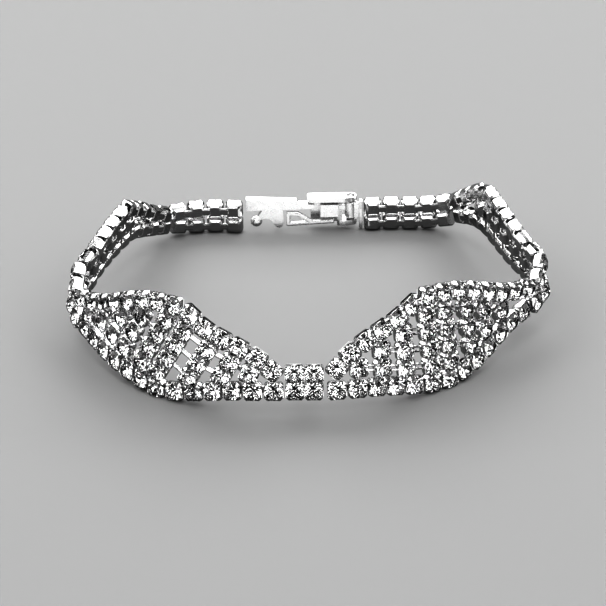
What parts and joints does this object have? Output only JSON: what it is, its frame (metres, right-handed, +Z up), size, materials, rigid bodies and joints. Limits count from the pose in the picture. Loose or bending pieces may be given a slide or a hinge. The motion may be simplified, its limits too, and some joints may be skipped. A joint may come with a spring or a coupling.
{
  "type": "wide bracelet",
  "caption": "Wide bracelet of crystal cup chain: two leaf-shaped lattice panels at the front, a narrow square centre, a rope of two rows behind and a hinged fold-over clasp.",
  "frame": {"origin": "middle of the underside of the whole bracelet's box, on the surface that it stands on", "axes": "+Z up along the axis of the loop, +Y from the square centre towards the clasp, +X to the right as seen from the centre's side"},
  "size_m": [0.066, 0.0528, 0.014],
  "materials": {
    "setting": "bright rhodium plating on stamped square cups with four prongs",
    "crystal": "clear faceted crystal with a mirrored back, cut as a round brilliant",
    "clasp": "smooth polished rhodium plating"
  },
  "bodies": {
    "bracelet": {"centre_block": "setting", "right_front_upper_rise": "setting", "right_front_upper_fall": "setting", "right_front_lower_level": "setting", "right_front_lower_rise": "setting", "right_side_upper_crest": "setting", "right_side_upper_fall": "setting", "right_side_lower": "setting", "right_corner": "setting", "right_back_rows": "setting", "right_front_column_1": "setting", "right_front_column_2": "setting", "right_front_column_3": "setting", "right_front_column_4": "setting", "right_front_column_5": "setting", "right_front_column_6": "setting", "right_front_column_7": "setting", "right_front_column_8": "setting", "right_side_column_1": "setting", "right_side_column_2": "setting", "right_side_column_3": "setting", "right_side_column_4": "setting", "right_side_column_5": "setting", "right_side_column_6": "setting", "left_front_upper_rise": "setting", "left_front_upper_fall": "setting", "left_front_lower_level": "setting", "left_front_lower_rise": "setting", "left_side_upper_crest": "setting", "left_side_upper_fall": "setting", "left_side_lower": "setting", "left_corner": "setting", "left_back_rows": "setting", "left_front_column_1": "setting", "left_front_column_2": "setting", "left_front_column_3": "setting", "left_front_column_4": "setting", "left_front_column_5": "setting", "left_front_column_6": "setting", "left_front_column_7": "setting", "left_front_column_8": "setting", "left_front_column_9": "setting", "left_side_column_1": "setting", "left_side_column_2": "setting", "left_side_column_3": "setting", "left_side_column_4": "setting", "left_side_column_5": "setting", "clasp_body": "clasp", "end_arm": "clasp", "catch_loop": "clasp", "clasp_pin": "clasp"},
    "cover": {"clasp_cover": "clasp"}
  },
  "joints": [
    {"name": "cover_hinge", "type": "hinge", "parent": "bracelet", "child": "cover", "pos_m": [0.00629, 0.0255, 0.00305], "axis": [0, 0, -1], "range_deg": [0, 110]}
  ]
}
